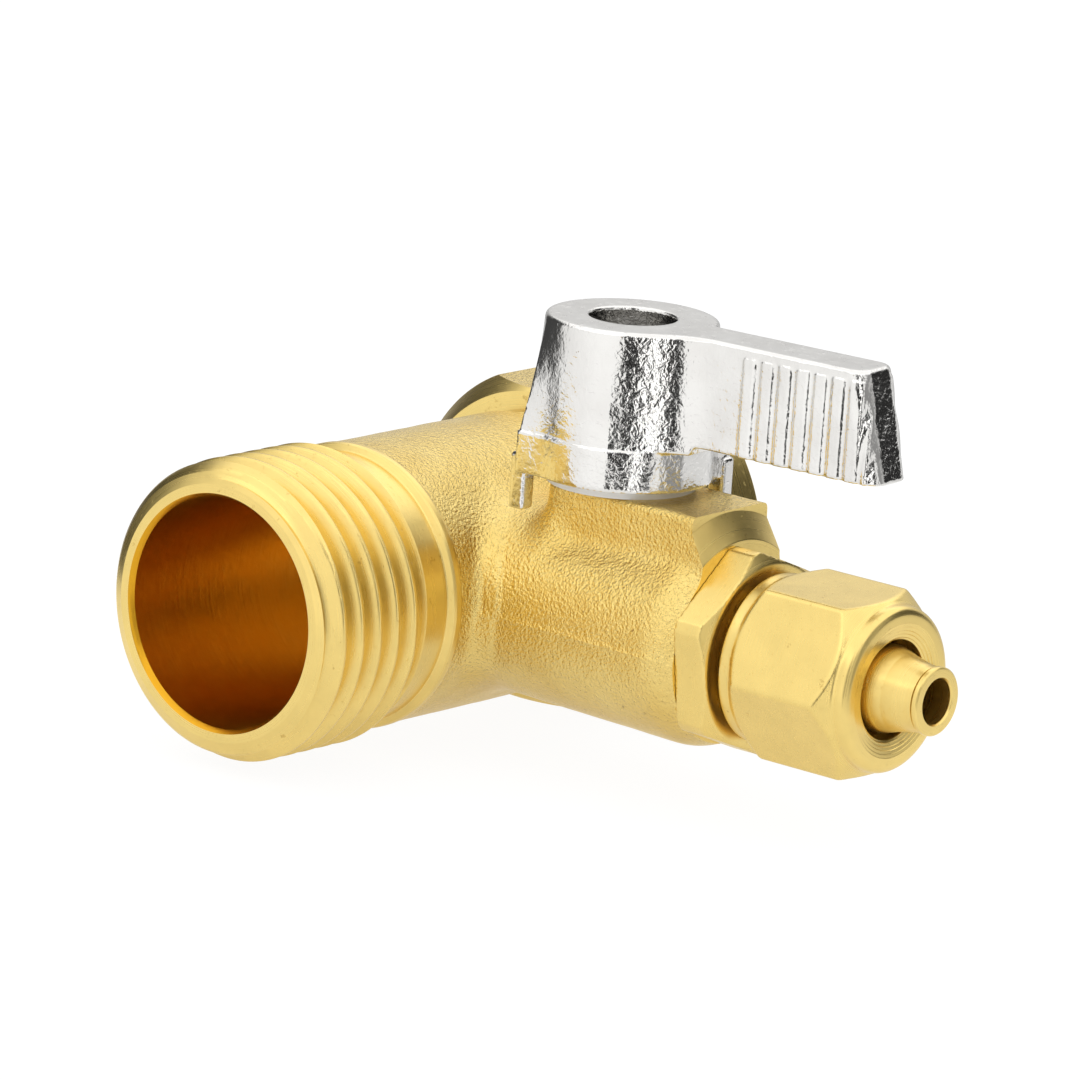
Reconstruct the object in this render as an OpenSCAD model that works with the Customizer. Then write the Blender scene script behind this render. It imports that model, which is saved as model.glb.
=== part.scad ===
// Quarter-turn mini ball valve on a threaded run tee.
// Frame: origin where the run axis crosses the branch axis.
// +X points out of the branch, along the outlet barb.
// -Y points out of the male thread of the run, +Y out of its female end.
// +Z points up, along the stem and away from the run.
// All lengths are millimetres.

/* [Run] */
// distance from the branch axis to the male end face
male_len = 22.65; // [20:0.05:28]
// distance from the branch axis to the female end face
female_len = 22; // [21:0.1:28]
// radius of the straight bore through the run
run_bore_r = 8.05; // [6.5:0.05:8.3]
// outer radius of the forged run
run_r = 9.97; // [9.9:0.01:10.3]
// radius of the round collar of the female end
collar_r = 12.5; // [12.2:0.1:14]
// half distance across the two flats of the collar
collar_flat = 11.3; // [11.2:0.1:12]

/* [Pipe threads] */
// crest radius of the half-inch parallel pipe thread
pipe_crest_r = 10.4775; // [10.4:0.0005:10.6]
// root radius of the half-inch parallel pipe thread
pipe_root_r = 9.3155; // [9.2:0.0005:9.5]
// pitch of the pipe thread, 14 to the inch
pipe_pitch = 1.814; // [1.7:0.001:2]
// number of full crests on the male end
male_crests = 5; // [4:1:5]
// distance from the male end face to the first full crest
male_lead = 2.45; // [2.2:0.05:2.6]
// depth of the female thread
female_depth = 11.4; // [9:0.1:12]

/* [Branch] */
// outer radius of the branch barrel near its mouth
barrel_r = 7.3; // [7:0.1:8]
// distance from the run axis to the end face of the branch
branch_len = 27.1; // [26:0.1:30]
// distance from the run axis to the stem axis
stem_x = 16.2; // [15.8:0.1:16.6]
// half width of the flat pad under the lever
pad_half = 4.1; // [3.6:0.1:4.1]
// height of the pad face above the branch axis
pad_top = 9.4; // [9.2:0.1:9.4]
// radius of the water way through the branch
port_r = 2.5; // [2:0.1:2.6]

/* [Valve] */
// radius of the ball
ball_r = 4.5; // [4.4:0.05:4.6]
// radius of the chamber that holds the ball and its seats
chamber_r = 5.4; // [5.35:0.05:5.45]
// radius of the stem in its bore
stem_r = 2.5; // [2.4:0.05:2.6]
// radial running clearance of the stem
stem_gap = 0.05; // [0.02:0.01:0.08]

/* [Lever] */
// angle of the blade from the branch axis as stored
lever_angle = 4; // [0:1:8]
// height of the lever's top face
lever_top = 21.08; // [20:0.02:22]
// height of the lever's lower rim
lever_base = 10.05; // [10.03:0.01:10.1]
// radius of the hub at its top face
hub_r = 5.93; // [5.6:0.01:6.2]
// radius of the screw recess in the hub
recess_r = 3.02; // [2.9:0.02:3.2]
// distance from the stem axis to the tip of the blade, at its lower edge
blade_len = 22.1; // [20:0.1:26]
// thickness of the blade
blade_t = 4.3; // [3.8:0.1:5]
// height of the blade's lower edge
blade_low = 13.5; // [13:0.1:14.5]
// number of grip ribs on each side of the blade
ribs = 7; // [0:1:7]
// spacing of the grip ribs
rib_pitch = 1.44; // [1.2:0.02:1.5]

/* [Outlet] */
// distance across the flats of the connector's hexagon
connector_af = 13; // [12.6:0.1:13.2]
// distance across the flats of the nut's hexagon
nut_af = 12; // [11.8:0.1:12.4]
// distance from the run axis to the rear rim of the nut
nut_rear = 30.35; // [30.2:0.05:30.6]
// distance from the run axis to the front face of the nut
nut_front = 41; // [40.5:0.1:41.5]
// radius of the hole in the nut that the tube passes through
nut_hole_r = 3.47; // [3.3:0.01:3.6]
// distance from the run axis to the tip of the barb
barb_tip = 44.4; // [43.8:0.1:46]
// radius of the lip at the tip of the barb
barb_r = 2.36; // [2.3:0.01:2.4]
// radius of the bore through the barb
barb_bore_r = 1.56; // [1.3:0.02:1.6]

/* [Hidden] */
$fn = 96;
brass = [0.87, 0.68, 0.29];
brass_dark = [0.78, 0.6, 0.24];
nickel = [0.82, 0.82, 0.8];
steel = [0.6, 0.61, 0.62];
ptfe = [0.95, 0.95, 0.93];
rubber = [0.08, 0.08, 0.08];
chrome = [0.85, 0.86, 0.88];
first_crest = -male_len + male_lead;
last_crest = first_crest + (male_crests - 1) * pipe_pitch;
crest_half = 0.16;
chamber_in = 11.5;
shank_end = 20.95;
hex_front = 29.75;
small_pitch = 1;

// a profile of [radius, distance] turned about the X axis
module lathe_x(pts) { rotate([0, 90, 0]) rotate_extrude() polygon(pts); }
// a profile of [radius, distance] turned about the Y axis
module lathe_y(pts) { rotate([-90, 0, 0]) rotate_extrude() polygon(pts); }
// a rod or bore along X from a to b
module rod_x(r, a, b) { translate([a, 0, 0]) rotate([0, 90, 0]) cylinder(r = r, h = b - a); }
// a rod or bore along Y from a to b
module rod_y(r, a, b) { translate([0, a, 0]) rotate([-90, 0, 0]) cylinder(r = r, h = b - a); }
// a hexagonal prism along X whose first corner is at the given angle from +Y towards +Z
module hex_x(af, a, b, turn) {
  rotate([turn, 0, 0]) translate([a, 0, 0]) rotate([0, 90, 0]) rotate([0, 0, 90])
    cylinder(r = af / 2 / cos(30), h = b - a, $fn = 6);
}

// crests and roots of a ring thread, as [radius, distance] points
function ridge(at, root, crest, pitch, half) =
  [[root, at - pitch / 2 + half], [crest, at - half], [crest, at + half], [root, at + pitch / 2 - half]];
function ridges(from, n, root, crest, pitch, half) =
  [for (i = [0:n - 1]) for (p = ridge(from + i * pitch, root, crest, pitch, half)) p];

// outside of the run: male thread, relief, shoulder ring, forged barrel
module run_outside() {
  lathe_y(concat(
    [[0, -male_len], [8.95, -male_len], [9.7, -male_len + 0.3], [9.95, first_crest - 1.9],
     [9.95, first_crest - 1.75], [pipe_root_r + 0.05, first_crest - pipe_pitch / 2 - 0.1]],
    ridges(first_crest, male_crests, pipe_root_r, pipe_crest_r, pipe_pitch, crest_half),
    [[9.5, last_crest + 1], [9.5, -9.75], [9.65, -9.56], [10, -9.44], [10.06, -9.2], [10.06, -8.85],
     [run_r, -8.5], [run_r, 8.7], [9.5, 9.2], [9.5, 10.36], [11.13, 10.36], [collar_r, 11.9],
     [collar_r, female_len - 0.8], [collar_r - 0.8, female_len], [0, female_len]]));
}

// two wrench flats on the female collar
module collar_flats() {
  for (s = [-1, 1]) translate([-15, 10.3, s > 0 ? collar_flat : -collar_flat - 4]) cube([30, female_len - 10.2, 4]);
}

// straight bore and female thread of the run
module run_inside() {
  rod_y(run_bore_r, -male_len - 1, female_len - female_depth + 0.5);
  lathe_y(concat(
    [[0, female_len - female_depth], [pipe_root_r, female_len - female_depth]],
    ridges(female_len - female_depth + 1.6, 5, pipe_root_r, pipe_crest_r, pipe_pitch, 0.12),
    [[pipe_root_r, female_len - 0.9], [10.3, female_len + 0.1], [10.3, female_len + 1], [0, female_len + 1]]));
}

// what turning removes around the mouth of the branch
module branch_turning() {
  lathe_x([[9.25, 25.85], [7.5, branch_len - 0.02], [0, branch_len], [0, branch_len + 3], [16, branch_len + 3], [16, 25.85]]);
}

// water way, ball chamber and connector thread of the branch
module branch_inside() {
  rod_x(port_r, 6, chamber_in + 1);
  rod_x(chamber_r, chamber_in, shank_end + 0.1);
  lathe_x(concat(
    [[0, shank_end], [5.45, shank_end]],
    ridges(shank_end + 0.75, 5, 5.45, 5.95, small_pitch, 0.1),
    [[5.45, 26.1], [5.92, 26.2], [5.92, branch_len + 1], [0, branch_len + 1]]));
}

// stem bore and thrust pocket
module stem_bore() {
  translate([stem_x, 0, 3]) cylinder(r = stem_r + stem_gap, h = 8);
  translate([stem_x, 0, 3]) cylinder(r = 3.3, h = 3.5);
}

// forged brass tee: run, branch barrel, stop pad and collar in one piece
module tee_body() {
  color(brass) difference() {
    union() {
      run_outside();
      // barrel, flaring slightly towards its rounded mouth
      lathe_x([[0, 2], [barrel_r - 0.5, 2], [barrel_r, 24.7], [barrel_r, 25.4], [barrel_r - 0.33, 26.5],
               [barrel_r - 0.6, branch_len + 0.1], [0, branch_len + 0.1]]);
      // web that carries the run into the branch
      hull() {
        translate([4, 0, 0]) rotate([0, 90, 0]) scale([1, 1.24, 1]) cylinder(r = 7.6, h = 0.2, $fn = 48);
        translate([11.4, 0, 0]) rotate([0, 90, 0]) cylinder(r = barrel_r - 0.3, h = 0.2, $fn = 48);
      }
      // pad whose sides stop the lever's two lugs
      translate([stem_x - 3.8, -pad_half, 0]) cube([branch_len - stem_x + 3.8, 2 * pad_half, pad_top]);
    }
    branch_turning();
    collar_flats();
    run_inside();
    branch_inside();
    stem_bore();
  }
}

// soft ring between the body shoulder and the ball
module seat(a, b, face) {
  difference() {
    rod_x(chamber_r - 0.05, a, b);
    rod_x(port_r, a - 1, b + 1);
    translate([stem_x, 0, 0]) sphere(r = ball_r + 0.03);
  }
}
module seat_ring_inner() { color(ptfe) seat(chamber_in + 0.02, chamber_in + 2.3); }
module seat_ring_outer() { color(ptfe) seat(2 * stem_x - chamber_in - 2.32, shank_end - 0.02); }

// ball with a cross bore and a slot on top for the stem's tongue
module ball() {
  color(chrome) translate([stem_x, 0, 0]) rotate([0, 0, lever_angle]) difference() {
    sphere(r = ball_r);
    translate([-6, 0, 0]) rotate([0, 90, 0]) cylinder(r = port_r, h = 12);
    translate([-1.25, -5, 3]) cube([2.5, 10, 3]);
  }
}

// stem: tongue, thrust flange, two ring grooves, double-flat head tapped for the screw
module stem() {
  color(brass_dark) translate([stem_x, 0, 0]) rotate([0, 0, lever_angle]) difference() {
    union() {
      intersection() {
        translate([-1.2, -2.3, 3.1]) cube([2.4, 4.6, 2.5]);
        cylinder(r = 2.3, h = 8);
      }
      rotate_extrude() polygon([[0, 5.42], [3.1, 5.42], [3.1, 6], [stem_r, 6],
        [stem_r, 6.55], [1.65, 6.55], [1.65, 7.55], [stem_r, 7.55],
        [stem_r, 7.85], [1.65, 7.85], [1.65, 8.85], [stem_r, 8.85],
        [stem_r, 10.2], [0, 10.2]]);
      intersection() {
        translate([0, 0, 10]) cylinder(r = 2.4, h = 4.6);
        translate([-3, -1.8, 10]) cube([6, 3.6, 5]);
      }
    }
    translate([0, 0, 9.5]) cylinder(r = 1.5, h = 6);
  }
}

module ring_seal(z) {
  color(rubber) translate([stem_x, 0, z]) rotate_extrude() translate([2.09, 0]) circle(r = 0.43, $fn = 48);
}
module stem_oring_lower() { ring_seal(7.05); }
module stem_oring_upper() { ring_seal(8.35); }

// low-friction washer between the stem flange and the ceiling of its pocket
module stem_thrust_washer() {
  color(ptfe) translate([stem_x, 0, 6.03]) difference() {
    cylinder(r = 3.25, h = 0.44);
    translate([0, 0, -1]) cylinder(r = stem_r + 0.06, h = 3);
  }
}

// white washer between the pad and the lever, seen under the rim
module handle_bushing() {
  color(ptfe) translate([stem_x, 0, pad_top]) difference() {
    cylinder(r = 5.2, h = lever_base - pad_top - 0.04);
    translate([0, 0, -1]) cylinder(r = stem_r + 0.06, h = 3);
  }
}

// outline of the lever's lower rim: round, with two flats and two stop corners
module rim_outline() {
  circle(r = 6.3);
  polygon([[-5.05, -5.75], [2.4, -5.75], [6.05, -1.7], [5.05, 5.75], [-2.4, 5.75], [-6.05, 1.7]]);
}

// plan of the blade at one level
module blade_plan(tip) {
  polygon([[0, -blade_t / 2], [tip - 1.6, -blade_t / 2], [tip - 0.5, -blade_t / 2 + 0.55], [tip, -0.7],
           [tip, 0.7], [tip - 0.5, blade_t / 2 - 0.55], [tip - 1.6, blade_t / 2], [0, blade_t / 2]]);
}

// cast lever: hub, ribbed blade, lower rim and two stop lugs
module lever_handle() {
  color(nickel) translate([stem_x, 0, 0]) rotate([0, 0, lever_angle]) difference() {
    union() {
      hull() {
        translate([0, 0, lever_top - 0.25]) cylinder(r = hub_r, h = 0.1, $fn = 64);
        translate([0, 0, lever_top - 0.1]) cylinder(r = hub_r - 0.15, h = 0.1, $fn = 64);
        translate([0, 0, 12.7]) linear_extrude(0.1) rim_outline();
      }
      translate([0, 0, lever_base]) linear_extrude(2.8) rim_outline();
      // blade, its tip leaning outwards towards the lower edge
      hull() {
        translate([0, 0, lever_top - 0.1]) linear_extrude(0.1) blade_plan(blade_len - 1.8);
        translate([0, 0, blade_low]) linear_extrude(0.1) blade_plan(blade_len);
      }
      // web where the blade leaves the hub
      hull() {
        translate([4.2, -3.6, blade_low]) cube([0.5, 7.2, lever_top - blade_low - 0.05]);
        translate([8.6, -blade_t / 2, blade_low]) cube([0.5, blade_t, lever_top - blade_low - 0.05]);
      }
      if (ribs > 0) for (i = [0:ribs - 1]) translate([11.32 + i * rib_pitch, 0, blade_low + 0.1])
        translate([-0.35, -blade_t / 2 - 0.22, 0]) cube([0.7, blade_t + 0.44, lever_top - blade_low - 0.5]);
      // lugs that meet the sides of the pad
      for (s = [0, 180]) rotate([0, 0, s]) translate([-5.5, -5.6, 7.4]) cube([1.3, 1.3, 3]);
    }
    // screw recess from above
    translate([0, 0, 15.6]) cylinder(r = recess_r, h = 8);
    // screw hole
    translate([0, 0, 13]) cylinder(r = 1.65, h = 5);
    // socket that turns the stem's double-flat head
    intersection() {
      translate([0, 0, 9]) cylinder(r = 2.45, h = 5.8);
      translate([-3, -1.85, 9]) cube([6, 3.7, 6]);
    }
    translate([0, 0, 9]) cylinder(r = 2.6, h = 1.35);
  }
}

// split washer under the screw head
module screw_lock_washer() {
  color(steel) translate([stem_x, 0, 15.61]) difference() {
    cylinder(r = 2.6, h = 0.6);
    translate([0, 0, -1]) cylinder(r = 1.62, h = 3);
    rotate([0, 0, 70]) translate([0, -0.18, -1]) cube([4, 0.36, 3]);
  }
}

// pan-head screw with a cross recess
module handle_screw() {
  color(steel) translate([stem_x, 0, 0]) difference() {
    union() {
      translate([0, 0, 9.9]) cylinder(r = 1.48, h = 6.5);
      translate([0, 0, 16.22]) cylinder(r = 2.75, h = 1.1);
      translate([0, 0, 17.3]) cylinder(r1 = 2.75, r2 = 1.9, h = 0.6);
    }
    translate([-1.5, -0.28, 16.9]) cube([3, 0.56, 2]);
    translate([-0.28, -1.5, 16.9]) cube([0.56, 3, 2]);
  }
}

// connector: threaded shank, hexagon, nut thread and tapered barb
module branch_connector() {
  color(brass) difference() {
    union() {
      lathe_x(concat(
        [[0, shank_end], [4.9, shank_end]],
        ridges(shank_end + 1.25, 4, 4.9, 5.38, small_pitch, 0.1),
        [[5.05, 26.1], [5.05, 27.5], [0, 27.5]]));
      intersection() {
        hex_x(connector_af, branch_len, hex_front, 39);
        lathe_x([[0, branch_len], [7.3, branch_len], [7.3, hex_front - 0.5],
                 [6.45, hex_front], [0, hex_front]]);
      }
      lathe_x(concat(
        [[0, 29.5], [4.2, 29.5], [4.2, 30.9]],
        ridges(31.5, 5, 4.25, 4.75, small_pitch, 0.1),
        [[4.2, 36.1], [3.55, 36.6], [3.15, 37.2], [3.05, 39.6], [2.95, 40.3], [2.6, 41.7],
         [2.38, 42.6], [2.27, 43.8], [barb_r, 44.02], [barb_r, barb_tip - 0.1], [barb_r - 0.1, barb_tip], [0, barb_tip]]));
    }
    rod_x(port_r, shank_end - 1, 34);
    lathe_x([[0, 33.9], [port_r, 33.9], [barb_bore_r, 34.9], [barb_bore_r, barb_tip + 1], [0, barb_tip + 1]]);
  }
}

// ring that seals the connector's hexagon against the branch mouth
module connector_seal() {
  color(rubber) translate([26.65, 0, 0]) rotate([0, 90, 0]) rotate_extrude() translate([5.485, 0]) circle(r = 0.41, $fn = 48);
}

// compression nut: hexagon, round rear rim, round front flange with a stepped mouth
module compression_nut() {
  color(brass) difference() {
    union() {
      intersection() {
        hex_x(nut_af, nut_rear + 0.3, 40.2, 4);
        lathe_x([[0, nut_rear], [5.95, nut_rear], [5.95, nut_rear + 1], [7.1, nut_rear + 2.15],
                 [7.1, 38.6], [5.75, 40.1], [0, 40.1]]);
      }
      lathe_x([[0, nut_rear], [5.75, nut_rear], [5.95, nut_rear + 0.2], [5.95, nut_rear + 1.1], [0, nut_rear + 1.1]]);
      lathe_x([[0, 39], [5.77, 39], [5.77, 40.45], [5.5, 40.85], [5.1, nut_front], [0, nut_front]]);
    }
    // thread
    lathe_x(concat(
      [[0, nut_rear - 1], [5.25, nut_rear - 1], [5.25, nut_rear + 0.2], [4.86, nut_rear + 0.55]],
      ridges(31, 6, 4.86, 5.3, small_pitch, 0.1),
      [[4.86, 36.6], [4.3, 37.4], [nut_hole_r, 38.6], [nut_hole_r, 40.45], [4, 40.6], [4.1, 40.8], [4.6, 40.82], [4.75, nut_front + 0.05], [4.75, nut_front + 1], [0, nut_front + 1]]));
  }
}

tee_body();
seat_ring_inner();
seat_ring_outer();
ball();
stem();
stem_oring_lower();
stem_oring_upper();
stem_thrust_washer();
handle_bushing();
lever_handle();
screw_lock_washer();
handle_screw();
branch_connector();
connector_seal();
compression_nut();
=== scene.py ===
import bpy
import bmesh
import math
import numpy as np
from mathutils import Matrix, Vector


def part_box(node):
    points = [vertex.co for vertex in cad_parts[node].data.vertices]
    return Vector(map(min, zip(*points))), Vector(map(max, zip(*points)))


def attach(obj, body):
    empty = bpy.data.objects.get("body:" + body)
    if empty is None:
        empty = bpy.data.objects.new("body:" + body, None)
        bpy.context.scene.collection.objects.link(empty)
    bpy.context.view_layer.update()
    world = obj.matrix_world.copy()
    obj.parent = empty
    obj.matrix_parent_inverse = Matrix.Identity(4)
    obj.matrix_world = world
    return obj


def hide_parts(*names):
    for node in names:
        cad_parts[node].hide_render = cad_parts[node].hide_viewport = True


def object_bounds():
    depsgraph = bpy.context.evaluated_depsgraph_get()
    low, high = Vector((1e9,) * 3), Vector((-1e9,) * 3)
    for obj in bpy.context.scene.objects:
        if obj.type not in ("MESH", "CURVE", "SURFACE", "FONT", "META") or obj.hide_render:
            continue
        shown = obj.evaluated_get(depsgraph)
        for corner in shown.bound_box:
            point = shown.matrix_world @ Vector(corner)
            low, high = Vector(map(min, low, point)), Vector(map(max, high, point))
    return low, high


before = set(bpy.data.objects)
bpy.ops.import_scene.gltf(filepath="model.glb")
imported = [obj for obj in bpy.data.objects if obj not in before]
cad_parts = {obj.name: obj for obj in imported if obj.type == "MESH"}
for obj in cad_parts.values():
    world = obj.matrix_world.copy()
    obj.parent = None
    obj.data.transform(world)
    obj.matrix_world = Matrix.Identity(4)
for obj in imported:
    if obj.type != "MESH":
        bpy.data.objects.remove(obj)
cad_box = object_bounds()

MM = 0.001
STEM_X, LEVER_ANGLE = 16.2, math.radians(4.0)


# ---------------------------------------------------------------- shapes as distance functions (millimetres)
def smin(a, b, k):
    h = np.clip(0.5 + 0.5 * (b - a) / k, 0, 1)
    return b * (1 - h) + a * h - k * h * (1 - h)


def smax(a, b, k):
    return -smin(-a, -b, k)


def ramp(v, w):
    return 0.5 * (1 + np.tanh(v / w))


def sd_poly(px, py, pts):
    d = np.full(px.shape, 1e9)
    s = np.ones(px.shape)
    for i in range(len(pts)):
        (ax, ay), (bx, by) = pts[i], pts[i - 1]
        ex, ey = bx - ax, by - ay
        wx, wy = px - ax, py - ay
        t = np.clip((wx * ex + wy * ey) / (ex * ex + ey * ey), 0, 1)
        d = np.minimum(d, (wx - ex * t) ** 2 + (wy - ey * t) ** 2)
        c1, c2, c3 = py >= ay, py < by, ex * wy > ey * wx
        s = np.where((c1 & c2 & c3) | (~c1 & ~c2 & ~c3), -s, s)
    return s * np.sqrt(d)


def sd_box2(px, py, hx, hy, r):
    qx, qy = np.abs(px) - hx + r, np.abs(py) - hy + r
    return np.hypot(np.maximum(qx, 0), np.maximum(qy, 0)) + np.minimum(np.maximum(qx, qy), 0) - r


def sd_hex(py, pz, af, turn, r):
    """a hexagon whose first corner is at turn degrees from +Y towards +Z"""
    d = None
    for i in range(6):
        a = math.radians(turn + 30 + 60 * i)
        e = py * math.cos(a) + pz * math.sin(a) - af / 2
        d = e if d is None else smax(d, e, r)
    return d


def lattice(i, j, k, seed):
    n = (i * 73856093) ^ (j * 19349663) ^ (k * 83492791) ^ (seed * 40503 + 977)
    n = (n ^ (n >> 13)) * 1274126177 & 0xFFFFFFFF
    n = (n ^ (n >> 15)) * 668265263 & 0xFFFFFFFF
    return ((n ^ (n >> 16)) & 0xFFFF) / 32767.5 - 1


def noise3(p, size, seed):
    q = p / size
    i = np.floor(q).astype(np.int64)
    f = q - i
    u = f * f * (3 - 2 * f)
    out = 0
    for a in (0, 1):
        for b in (0, 1):
            for c in (0, 1):
                w = (u[:, 0] if a else 1 - u[:, 0]) * (u[:, 1] if b else 1 - u[:, 1]) * (u[:, 2] if c else 1 - u[:, 2])
                out = out + w * lattice(i[:, 0] + a, i[:, 1] + b, i[:, 2] + c, seed)
    return out


def gradient(f, p, e=0.01):
    g = np.empty_like(p)
    for a in range(3):
        d = np.zeros(3)
        d[a] = e
        g[:, a] = (f(*(p + d).T) - f(*(p - d).T)) / (2 * e)
    return g


def skin(f, lo, hi, h, reach=1.7, block=8):
    """the zero surface of f as vertices and quads, each vertex brought exactly onto it"""
    lo, hi = np.array(lo, float) - 2 * h, np.array(hi, float) + 2 * h
    nb = np.ceil((hi - lo) / (h * block)).astype(int)
    centre = [lo[a] + (np.arange(nb[a]) + 0.5) * block * h for a in range(3)]
    cx, cy, cz = np.meshgrid(*centre, indexing="ij")
    coarse = f(cx.ravel(), cy.ravel(), cz.ravel()).reshape(nb)
    field = np.repeat(np.repeat(np.repeat(coarse, block, 0), block, 1), block, 2).astype(np.float32)
    field = np.pad(field, ((0, 1),) * 3, mode="edge")
    near = np.argwhere(np.abs(coarse) < block * h * 0.87 * reach)
    r = np.arange(block + 1)
    ox, oy, oz = (o.ravel() for o in np.meshgrid(r, r, r, indexing="ij"))
    for s in range(0, len(near), 1500):
        b = near[s:s + 1500] * block
        ix, iy, iz = b[:, :1] + ox, b[:, 1:2] + oy, b[:, 2:3] + oz
        v = f((lo[0] + ix * h).ravel(), (lo[1] + iy * h).ravel(), (lo[2] + iz * h).ravel())
        field[ix.ravel(), iy.ravel(), iz.ravel()] = v
    inside = field < 0
    count = np.zeros(np.array(field.shape) - 1, np.uint8)
    for a in (0, 1):
        for b in (0, 1):
            for c in (0, 1):
                count += inside[a:count.shape[0] + a, b:count.shape[1] + b, c:count.shape[2] + c]
    active = (count > 0) & (count < 8)
    index = np.full(active.shape, -1, np.int64)
    n = int(active.sum())
    index[active] = np.arange(n)
    total, times, quads = np.zeros((n, 3)), np.zeros(n), []
    for ax in range(3):
        first = tuple(slice(0, -1) if d == ax else slice(None) for d in range(3))
        second = tuple(slice(1, None) if d == ax else slice(None) for d in range(3))
        edge = np.argwhere(inside[first] != inside[second])
        far = edge.copy()
        far[:, ax] += 1
        va, vb = field[tuple(edge.T)].astype(float), field[tuple(far.T)].astype(float)
        at = edge.astype(float)
        at[:, ax] += va / (va - vb)
        u, w = (ax + 1) % 3, (ax + 2) % 3
        ring = []
        for du, dw in ((0, 0), (-1, 0), (-1, -1), (0, -1)):
            c = edge.copy()
            c[:, u] += du
            c[:, w] += dw
            ring.append(index[tuple(c.T)])
        for c in ring:
            for d in range(3):
                total[:, d] += np.bincount(c, at[:, d], n)
            times += np.bincount(c, minlength=n)
        q = np.stack(ring, 1)
        q[va > 0] = q[va > 0][:, ::-1]
        quads.append(q)
    p = lo + total / times[:, None] * h
    for _ in range(3):
        g = gradient(f, p)
        step = (f(*p.T) / np.maximum((g * g).sum(1), 0.05))[:, None] * g
        size = np.linalg.norm(step, axis=1)
        p -= step * np.minimum(1, 0.5 * h / np.maximum(size, 1e-9))[:, None]
    return p, np.concatenate(quads)


# ---------------------------------------------------------------- turned shapes
def rounded(profile, r, n=3):
    """a profile of (radius, along) with its corners rounded; a point may carry its own radius as a third number"""
    pts = [tuple(p) + (r,) * (3 - len(p)) for p in profile]
    out = [pts[0][:2]]
    for a, b, c in zip(pts, pts[1:], pts[2:]):
        pa, pb, pc = (np.array(p[:2], float) for p in (a, b, c))
        la, lc = np.linalg.norm(pa - pb), np.linalg.norm(pc - pb)
        if la < 1e-6 or lc < 1e-6:
            continue
        ua, uc = (pa - pb) / la, (pc - pb) / lc
        bend = math.acos(max(-1, min(1, float(ua @ uc))))
        if bend > math.radians(176) or b[2] <= 0:
            out.append(tuple(pb))
            continue
        d = min(b[2] / math.tan(bend / 2), 0.45 * la, 0.45 * lc)
        s, e = pb + ua * d, pb + uc * d
        for t in np.linspace(0, 1, n + 1):
            out.append(tuple((1 - t) ** 2 * s + 2 * t * (1 - t) * pb + t * t * e))
    out.append(pts[-1][:2])
    return out


def place(r, t, ang, axis):
    c, s = r * np.cos(ang), r * np.sin(ang)
    if axis == "x":
        return np.stack([t, c, s], -1)
    if axis == "y":
        return np.stack([s, t, c], -1)
    return np.stack([c, s, t], -1)


def lathe(profile, axis, segs=128):
    """a solid turned from an open profile whose ends lie on the axis"""
    body = [p for p in profile if p[0] > 1e-6]
    r, t = np.array([p[0] for p in body]), np.array([p[1] for p in body])
    ang = np.arange(segs) * 2 * math.pi / segs
    v = place(r[:, None] + 0 * ang, t[:, None] + 0 * ang, ang[None] + 0 * r[:, None], axis).reshape(-1, 3)
    faces = []
    for i in range(len(body) - 1):
        for j in range(segs):
            k = (j + 1) % segs
            faces.append((i * segs + j, i * segs + k, (i + 1) * segs + k, (i + 1) * segs + j))
    ends = []
    for row, p in ((0, profile[0]), (len(body) - 1, profile[-1])):
        ends.append(place(np.array(0.0), np.array(float(p[1])), np.array(0.0), axis))
        top = len(v) + len(ends) - 1
        for j in range(segs):
            faces.append((top, row * segs + j, row * segs + (j + 1) % segs))
    return np.vstack([v, np.array(ends)]), faces


def helix(profile, pitch, start, turns, segs, axis, phase=0.0):
    """a right-hand threaded bar; profile is (share of the pitch, radius) over one pitch"""
    s, rows = len(profile), len(profile) * turns
    v = []
    ang = np.arange(segs) * 2 * math.pi / segs
    for i in range(rows):
        du, r = profile[i % s]
        t = start + (i // s + du) * pitch + pitch * ang / (2 * math.pi)
        v.append(place(np.full(segs, float(r)), t, ang + phase, axis))
    v = np.array(v).reshape(-1, 3)
    faces = []
    for i in range(rows - 1):
        for j in range(segs):
            if j < segs - 1:
                faces.append((i * segs + j, i * segs + j + 1, (i + 1) * segs + j + 1, (i + 1) * segs + j))
            elif i + 1 + s < rows:
                faces.append((i * segs + j, (i + s) * segs, (i + 1 + s) * segs, (i + 1) * segs + j))
    low = [j for j in range(segs)] + [i * segs for i in range(s, 0, -1)]
    high = [(rows - 1) * segs + j for j in range(segs)] + [(rows - 1 - i) * segs + segs - 1 for i in range(1, s + 1)]
    ends = np.array([place(np.array(0.0), np.array(start - 0.3), np.array(0.0), axis),
                     place(np.array(0.0), np.array(start + (turns + 1) * pitch + 0.3), np.array(0.0), axis)])
    for loop, top in ((low, len(v)), (high, len(v) + 1)):
        for a, b in zip(loop, loop[1:] + loop[:1]):
            faces.append((top, a, b))
    return np.vstack([v, ends]), faces


def thread_profile(root, crest, pitch, flat, root_flat, soft):
    """one pitch of a V thread with eased crest and root"""
    x = np.linspace(0, 1, 400, endpoint=False)
    u = np.abs(x - 0.5) * pitch
    r = np.interp(u, [0, flat, pitch / 2 - root_flat, pitch / 2], [crest, crest, root, root])
    k = np.exp(-0.5 * (np.arange(-60, 61) * pitch / 400 / soft) ** 2)
    r = np.convolve(np.concatenate([r[-60:], r, r[:60]]), k / k.sum(), "valid")
    r = root + (r - r.min()) / (r.max() - r.min()) * (crest - root)
    keep = [0, 0.06, 0.13, 0.2, 0.28, 0.34, 0.385, 0.42, 0.455, 0.5, 0.545, 0.58, 0.615, 0.66, 0.72, 0.8, 0.87, 0.94]
    return [(k, float(r[int(k * 400) % 400])) for k in keep]


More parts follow.
